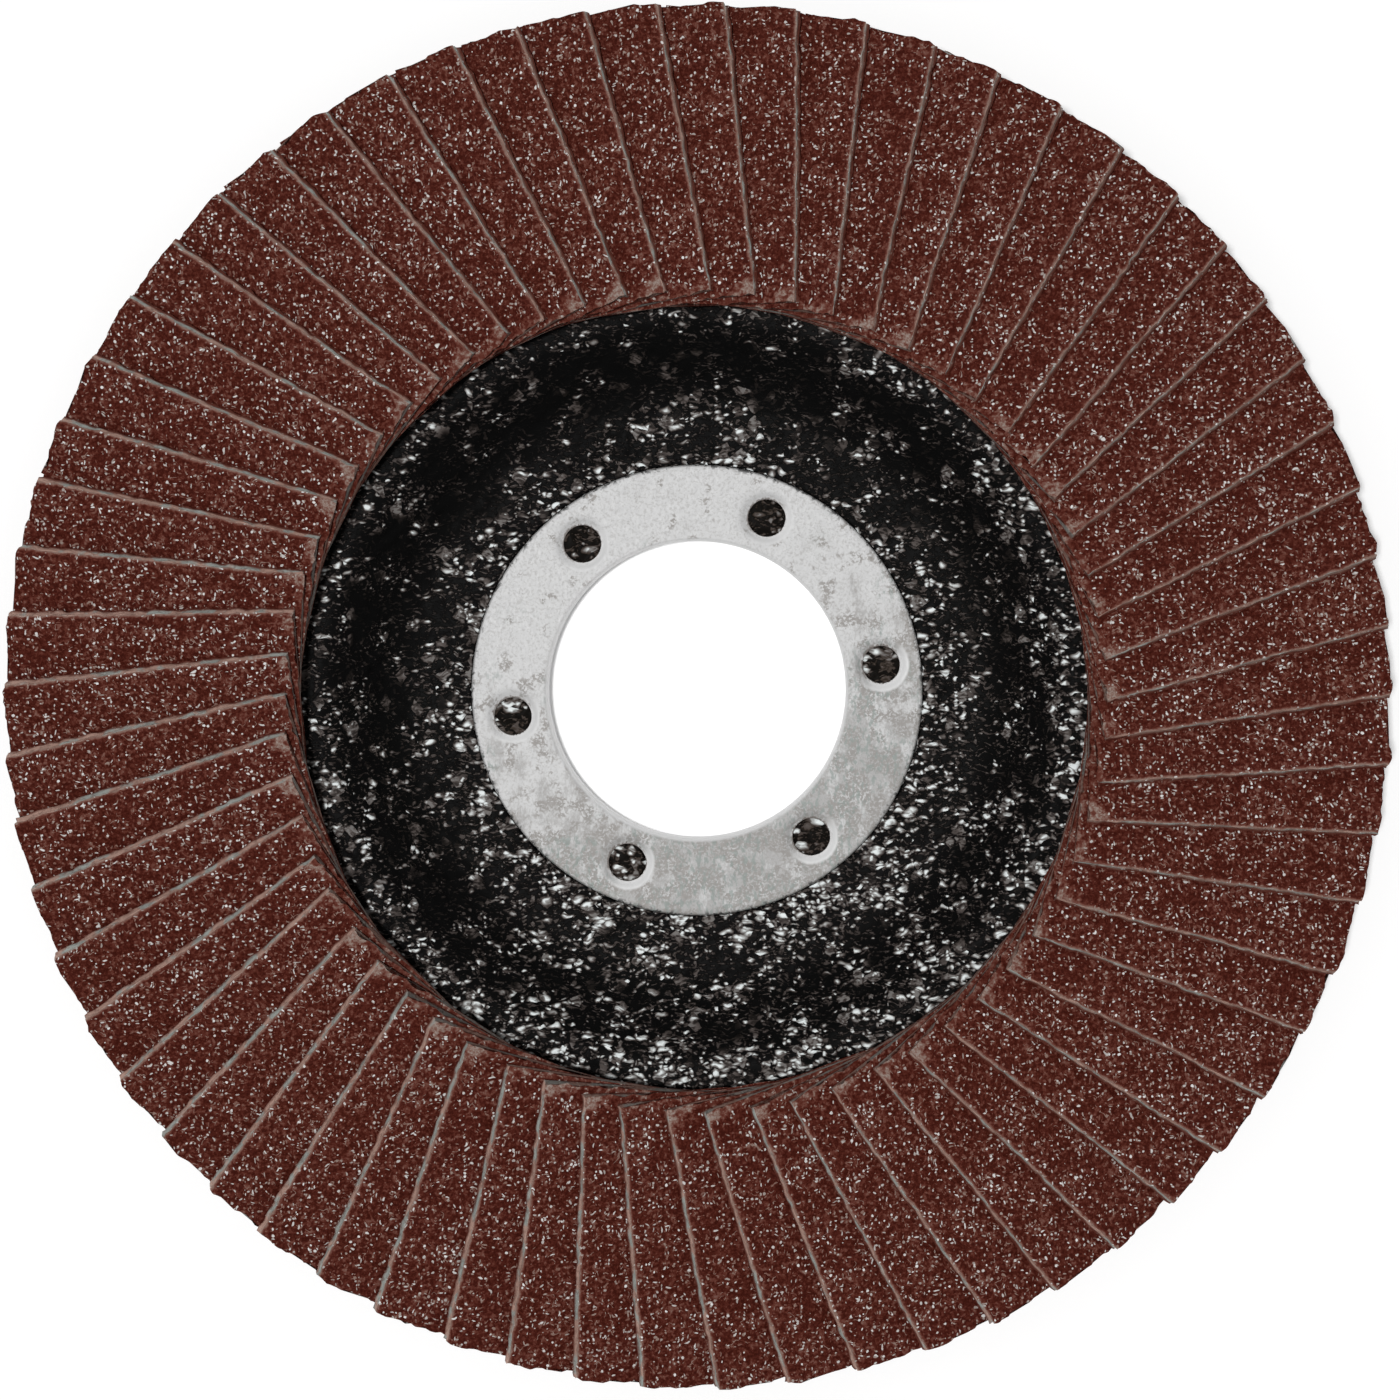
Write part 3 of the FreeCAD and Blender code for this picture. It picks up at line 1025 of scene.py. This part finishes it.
@dataclass
class BackingPlate:
    """The dished laminate, with the weave of its glass cloth standing in its surface."""

    bore: float = 12.165
    hub: float = 2.8
    pocket_floor: float = 2.05
    pocket: float = 16.85
    hub_face: float = 22.2
    crown: float = 27.2
    crown_height: float = 7.15
    rim: float = 48.2
    slope: float = 5.0
    rim_thickness: float = 2.7
    wall_thickness: float = 2.5
    foot_rounding: float = 5.2
    crown_rounding: float = 2.2
    back_rounding: float = 1.5
    pocket_rounding: float = 0.12
    edge_rounding: float = 0.3
    covered: float = 31.0
    pitch: float = 1.3
    weave: float = 0.07
    bends: tuple[Layer, Layer] = (Layer(0.35, 4.0), Layer(0.35, 4.0, (500.0, 0.0)))
    facets: tuple[Layer, ...] = (Layer(0.11, 0.62, (200.0, 0.0)), Layer(0.055, 0.33, (300.0, 0.0)))
    patches: Layer = Layer(0.4, 3.0, (0.0, 400.0))
    columns: int = 560
    seed: int = 5

    def rim_height(self, radius: float) -> float:
        """Height of the rim's upper side at a radius."""
        return self.crown_height - math.tan(math.radians(self.slope)) * (radius - self.crown)

    def corners(self) -> list[Corner]:
        """The profile's corners, from the bore's foot along the back, and home over the working side.

        Returns:
            The corners in order.
        """
        fall = math.tan(math.radians(self.slope))
        rise = (self.crown_height - self.hub) / (self.crown - self.hub_face)
        wall_drop = self.wall_thickness * math.hypot(1, rise)
        rim_drop = self.rim_thickness * math.hypot(1, fall)
        back_foot = self.hub_face + (wall_drop - self.hub) / rise
        back_crown = self.crown + (wall_drop - rim_drop) / (rise + fall)
        return [
            Corner(self.bore, 0.0, 0.9),
            Corner(back_foot, 0.0, 0.8, self.foot_rounding),
            Corner(back_crown, self.rim_height(back_crown) - rim_drop, 0.9, self.back_rounding),
            Corner(self.rim, self.rim_height(self.rim) - rim_drop, 0.6, self.edge_rounding),
            Corner(self.rim, self.rim_height(self.rim), 1.6, self.edge_rounding),
            Corner(self.covered, self.rim_height(self.covered), 0.3),
            Corner(self.crown, self.crown_height, 0.3, self.crown_rounding),
            Corner(self.hub_face, self.hub, 0.3, self.foot_rounding),
            Corner(self.pocket, self.hub, 0.35, self.pocket_rounding),
            Corner(self.pocket, self.pocket_floor, 2.0),
            Corner(self.bore, self.pocket_floor, 0.9),
        ]

    def relief(self, points: Array) -> Array:
        """Height of the surface over the profile: yarns that cross, broken up by facets and slow waves.

        The weave is the product of two sines, one along each yarn, of a pitch that noise bends.

        Args:
            points: The plain surface's points.

        Returns:
            One height for each point: none under the flaps, at the sleeve or in the pocket.
        """
        rough = Roughening(self.seed)
        x, y, z = points.T
        bend_x, bend_y = (rough.heights(x, y, bend) for bend in self.bends)
        turns = 2 * math.pi / self.pitch
        weave = self.weave * np.sin(turns * (x + bend_x)) * np.sin(turns * (y + bend_y))
        strength = 0.6 + rough.heights(x, y, self.patches)
        radius = np.hypot(x, y)
        bare = 1.0 - smoothstep(self.covered - 1.0, self.covered + 1.0, radius)
        shown = np.where(z > self.hub - 0.2, bare, 1.0) * smoothstep(0.0, 0.5, radius - self.bore)
        in_pocket = (radius < self.pocket - 0.02) & (z > 0.5) & (z < self.hub - 0.1)
        flat = np.where(z < 0.01, 0.25, 1.0)
        return (weave + rough.heights(x, y, *self.facets)) * strength * shown * flat * ~in_pocket

    def build(self, finish: bpy.types.Material) -> None:
        """Makes the plate in place of the CAD plate.

        Args:
            finish: Its material.
        """
        profile = rounded_profile(self.corners())
        surface = swept_ring(profile, self.columns)
        height = self.relief(surface.points)
        surface.points = lifted(surface.points, (len(profile), self.columns), height)
        surface.points[:, 2] = np.maximum(surface.points[:, 2], 0.0)
        settle(surface.piece("laminate_plate", 80.0), Slot.LAMINATE, finish, "backing_plate")


@dataclass
class CentreRing:
    """The steel pressing: a flange with six dimpled holes, and a round bend into the sleeve in the bore."""

    bore: float = 11.115
    lead: float = 0.3
    face: float = 3.05
    floor: float = 2.05
    sleeve: float = 12.115
    sleeve_end: float = 0.1
    chamfer: float = 0.1
    flange: float = 16.8
    key_count: int = 6
    key_radius: float = 1.4
    key_circle: float = 13.85
    key_angle: float = 8.0
    key_recess: float = 0.35
    key_room: float = 0.03
    key_dome: float = 0.15
    key_bumps: Layer = Layer(0.13, 0.42, (0.0, 50.0))
    key_seed: int = 77
    dimple: float = 0.16
    dimple_reach: float = 0.42
    edge_rounding: float = 0.16
    # Angle in degrees of the side of the holes that faces the lamp, where the painted highlight crescents lie.
    crescent: float = -45.0
    plain: tuple[float, float, float] = (9.0, 0.0, 0.0)
    arc_points: int = 26
    side_points: int = 9
    rings: int = 16
    under_rings: int = 3
    wall_rings: int = 4

    def sector_outline(self, inner: float) -> Array:
        """Outline of a flat round one hole: a sixth of the ring, anticlockwise from its outer arc.

        Args:
            inner: Radius of the flat's inner arc.

        Returns:
            Points (x, y) about the axis, with the hole on +X.
        """
        half = math.pi / self.key_count
        outer = self.flange - self.edge_rounding
        turns = np.linspace(-half, half, self.arc_points + 1)
        rise = np.linspace(inner, outer, self.side_points + 1)
        sides = (around(outer, turns), around(rise[::-1], half), around(inner, turns[::-1]), around(rise, -half))
        return np.concatenate([side[:-1] for side in sides])

    def sector(self, inner: float, level: float, rings: int, dimple: float, lit: float = 0.0) -> Surface:
        """The flat round one hole, as rings of points from the hole's edge to the outline.

        A point at share s lies at hole + s * (outline - hole), where both lie on one ray from the hole's centre.
        The dimple is an exponential dip beside the hole.

        Args:
            inner: Radius of the flat's inner arc.
            level: Height of the flat.
            rings: Number of rings of points.
            dimple: Depth of the dip at the hole's edge.
            lit: Angle in which the hole's painted highlight crescent lies, in radians.

        Returns:
            The flat, with marks: distance from the hole's edge, and share of the crescent.
        """
        outline = self.sector_outline(inner)
        centre = np.array([self.key_circle, 0.0])
        ray = outline - centre
        reach = np.linalg.norm(ray, axis=-1, keepdims=True)
        rim = ray / reach * self.key_radius
        share = np.linspace(0.0, 1.0, rings)[:, None, None] ** 1.6
        flat = centre + rim + share * (ray - rim)
        radius = np.linalg.norm(flat, axis=-1)
        gap = np.linalg.norm(flat - centre, axis=-1) - self.key_radius
        edge = self.flange - self.edge_rounding - radius
        dip = dimple * np.exp(-((gap / self.dimple_reach) ** 2)) * smoothstep(0.0, 0.6, np.maximum(edge, 0.0))
        inward = smoothstep(0.0, 0.4, radius - inner)
        points = np.concatenate([flat, (level - dip * inward)[..., None]], axis=-1)
        facing = np.broadcast_to(np.cos(np.arctan2(ray[:, 1], ray[:, 0]) - lit), gap.shape)
        marks = np.stack([gap, facing, np.zeros_like(gap)], axis=-1).reshape(-1, 3)
        quads = grid_quads(rings, len(outline), Coverage.CLOSED)[:, ::-1]
        return Surface(points.reshape(-1, 3), quads, [], marks)

    def hole_wall(self) -> Surface:
        """The wall of one hole, from the dimple's rim down to the rim of the hole in the underside.

        Returns:
            The wall.
        """
        above = self.sector(self.bore + self.lead, self.face, self.rings, self.dimple)
        below = self.sector(self.sleeve, self.floor, self.under_rings, 0.0)
        count = len(self.sector_outline(self.sleeve))
        share = np.linspace(0.0, 1.0, self.wall_rings)[:, None, None]
        points = above.points[:count] + share * (below.points[:count] - above.points[:count])
        # The holes' walls are marked to take the painted hole shade.
        marks = np.tile((0.0, -1.0, 1.0), (self.wall_rings * count, 1))
        return Surface(points.reshape(-1, 3), grid_quads(self.wall_rings, count, Coverage.CLOSED), [], marks)

    def skirt(self) -> Surface:
        """The bend into the bore with the sleeve, and the flange's edge: two open profiles swept round the axis.

        Returns:
            Both, in one surface.
        """
        columns = self.key_count * self.arc_points
        first = -math.pi / self.key_count
        quarter = math.pi / 2
        lead_middle = (self.bore + self.lead, self.face - self.lead)
        lead = lead_middle + around(self.lead, quarter + np.linspace(0.0, quarter, 9))
        edge_middle = (self.flange - self.edge_rounding, self.face - self.edge_rounding)
        outer = edge_middle + around(self.edge_rounding, quarter - np.linspace(0.0, quarter, 4))
        down = [[self.flange, self.floor + self.chamfer], [self.flange - self.edge_rounding, self.floor]]
        sleeve = [[self.bore, 1.0], [self.bore, self.sleeve_end + self.chamfer],
                  [self.bore + self.chamfer, self.sleeve_end], [self.sleeve, self.sleeve_end],
                  [self.sleeve, self.floor]]
        inner = swept_ring(np.concatenate([lead, sleeve]), columns, Coverage.OPEN, first)
        both = inner.joined(swept_ring(np.concatenate([outer, down]), columns, Coverage.OPEN, first))
        both.marks = np.tile(self.plain, (len(both.points), 1))
        return both

    def build(self, finish: bpy.types.Material) -> None:
        """Makes the ring in place of the CAD ring.

        Args:
            finish: Its material.
        """
        start = math.radians(self.key_angle)
        under = self.hole_wall().joined(self.sector(self.sleeve, self.floor, self.under_rings, 0.0))
        whole = self.skirt().turned(start)
        for key in range(self.key_count):
            turn = start + 2 * math.pi * key / self.key_count
            lit = math.radians(self.crescent) - turn
            flat = self.sector(self.bore + self.lead, self.face, self.rings, self.dimple, lit)
            whole = whole.joined(flat.joined(under).turned(turn))
        settle(whole.piece("steel_ring", 40.0, 0.004), Slot.STEEL, finish, "centre_ring")

    def build_keys(self, finish: bpy.types.Material) -> None:
        """Makes the resin keys that fill the ring's holes to just below its face.

        Args:
            finish: Its material.
        """
        rings, columns = 9, 40
        share = np.linspace(0.0, 1.0, rings)
        radius = (self.key_radius - self.key_room) * share
        dome = self.face - self.key_recess + self.key_dome * (0.5 - share**2)
        foot = [[radius[-1], self.floor + 0.02]]
        stud = swept_ring(np.concatenate([np.stack([radius, dome], axis=-1)[1:], foot]), columns, Coverage.OPEN)
        rough = Roughening(self.key_seed)
        whole = None
        for key in range(self.key_count):
            points = stud.points.copy()
            bumps = rough.heights(points[:, 0] + 20 * key, points[:, 1], self.key_bumps)
            points[:, 2] += bumps * (points[:, 2] > self.floor + 0.1)
            points[:, 0] += self.key_circle
            count = len(points)
            caps = [list(range(columns)), list(range(count - columns, count))[::-1]]
            turn = math.radians(self.key_angle + 360 * key / self.key_count)
            one = Surface(points, stud.quads, caps).turned(turn)
            whole = one if whole is None else whole.joined(one)
        settle(whole.piece("resin_keys", 70.0, 0.002), Slot.LAMINATE, finish)


@dataclass
class ResinBed:
    """The cured adhesive under the flaps. Its shape is the CAD node's own."""

    node: str = "resin_bed"

    def build(self, frame: Any, finish: bpy.types.Material) -> None:
        """Gives the CAD node its finish.

        Args:
            frame: The loaded frame.
            finish: Its material.
        """
        bed = frame["nodes"][self.node]
        bed.data.materials.clear()
        bed.data.materials.append(finish)
        log.info("%s: dressed", self.node)


# Studio


@dataclass
class Studio:
    """Pale floor, soft light from above and a little to the left, and the camera that looks down on the disc.

    The camera stands a little beside the disc's axis. It is turned most of the way back to the aim, and the rest
    is the shift of its lens.
    """

    camera_place: tuple[float, float, float] = (5.5, 17.0, 360.0)
    aim: tuple[float, float, float] = (0.23, -0.7, 3.05)
    turned: float = 0.65
    view_width: float = 104.2
    sensor: float = 36.0
    floor_size: float = 6000.0
    ambient: float = 0.3
    key_level: float = 0.75
    key_size: float = 110.0
    key_distance: float = 1500.0
    key_lean: tuple[float, float] = (-5.5, 1.0)
    paper: float = 0.95
    glow: float = 0.08

    def camera(self) -> None:
        """Sets the camera, which looks down on the disc. The view's width holds at the height of its aim."""
        stand, aim = Vector(self.camera_place), Vector(self.aim)
        axis = Vector((stand.x, stand.y, aim.z)).lerp(aim, self.turned)
        lens = bpy.data.cameras.new("camera")
        lens.sensor_width = self.sensor
        lens.lens = self.sensor * (stand - axis).length / self.view_width
        lens.shift_x, lens.shift_y = (aim - axis).xy / self.view_width
        lens.clip_end = 100.0
        camera = bpy.data.objects.new("camera", lens)
        camera.location = stand * MILLIMETRE
        camera.rotation_euler = self.facing(stand - axis)
        bpy.context.scene.collection.objects.link(camera)
        bpy.context.scene.camera = camera

    @staticmethod
    def facing(back: Vector) -> Euler:
        """Rotation of a lamp or camera whose back is in a direction near +Z, with its upper side towards +Y.

        Args:
            back: The direction.

        Returns:
            The rotation.
        """
        across = Vector((0.0, 1.0, 0.0)).cross(back).normalized()
        up = back.normalized().cross(across)
        return Matrix((across, up, back.normalized())).transposed().to_euler()

    def lamp(self) -> None:
        """Adds the soft square lamp that aims at the disc.

        A square lamp of power P at distance d lights a white surface that faces it to P / (pi d)².
        """
        light = bpy.data.lights.new("key", "AREA")
        light.size = self.key_size * MILLIMETRE
        light.energy = self.key_level * (math.pi * self.key_distance * MILLIMETRE) ** 2
        lamp = bpy.data.objects.new("key", light)
        towards = Vector((*(math.tan(math.radians(lean)) for lean in self.key_lean), 1.0)).normalized()
        lamp.location = towards * self.key_distance * MILLIMETRE
        lamp.rotation_euler = self.facing(towards)
        bpy.context.scene.collection.objects.link(lamp)

    def floor(self) -> None:
        """Lays the floor. It is white to the camera and keeps the disc's shadow."""
        half = self.floor_size / 2
        points = np.array([[-half, -half, 0.0], [half, -half, 0.0], [half, half, 0.0], [-half, half, 0.0]])
        floor = Surface(points, np.array([[0, 1, 2, 3]])).piece("floor")
        s = Shader("floor")
        paper = s.node("ShaderNodeBsdfDiffuse", {}, {"Color": (self.paper,) * 3})
        glow = {"Color": (1.0, 1.0, 1.0), "Strength": s.looked_at() * self.glow}
        both = {0: paper.outputs[0], 1: s.node("ShaderNodeEmission", {}, glow).outputs[0]}
        surface = s.node("ShaderNodeAddShader", {}, both)
        s.node("ShaderNodeOutputMaterial", {}, {"Surface": surface.outputs[0]})
        floor.data.materials.append(s.material)

    def world(self) -> None:
        """Sets an even pale sky, white where the camera sees it."""
        world = bpy.data.worlds.new("studio")
        s = Shader("studio", world)
        light = {"Color": (1.0, 1.0, 1.0), "Strength": s.looked_at().ramp(0.0, 1.0, self.ambient, 1.0)}
        sky = s.node("ShaderNodeBackground", {}, light)
        s.node("ShaderNodeOutputWorld", {}, {"Surface": sky.outputs[0]})
        bpy.context.scene.world = world

    def build(self) -> None:
        """Sets the whole studio."""
        self.camera()
        self.lamp()
        self.floor()
        self.world()
        bpy.context.scene.view_settings.view_transform = "Standard"


def main() -> None:
    """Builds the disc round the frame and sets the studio."""
    logging.basicConfig(level=logging.INFO, format="%(name)s: %(message)s")
    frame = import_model()
    laminate = LaminateFinish().material()
    BackingPlate().build(laminate)
    ring = CentreRing()
    ring.build(SteelFinish().material())
    keys = LaminateFinish(resin=painted(17, 15, 13), grey=painted(58, 50, 44), more=-0.1, name="key_resin",
                          flake_size=0.8, chip_size=0.45)
    ring.build_keys(keys.material())
    FlapPack().build(ClothFinish().material())
    ResinBed().build(frame, ResinFinish().material())
    Studio().build()


if __name__ == "__main__":
    main()
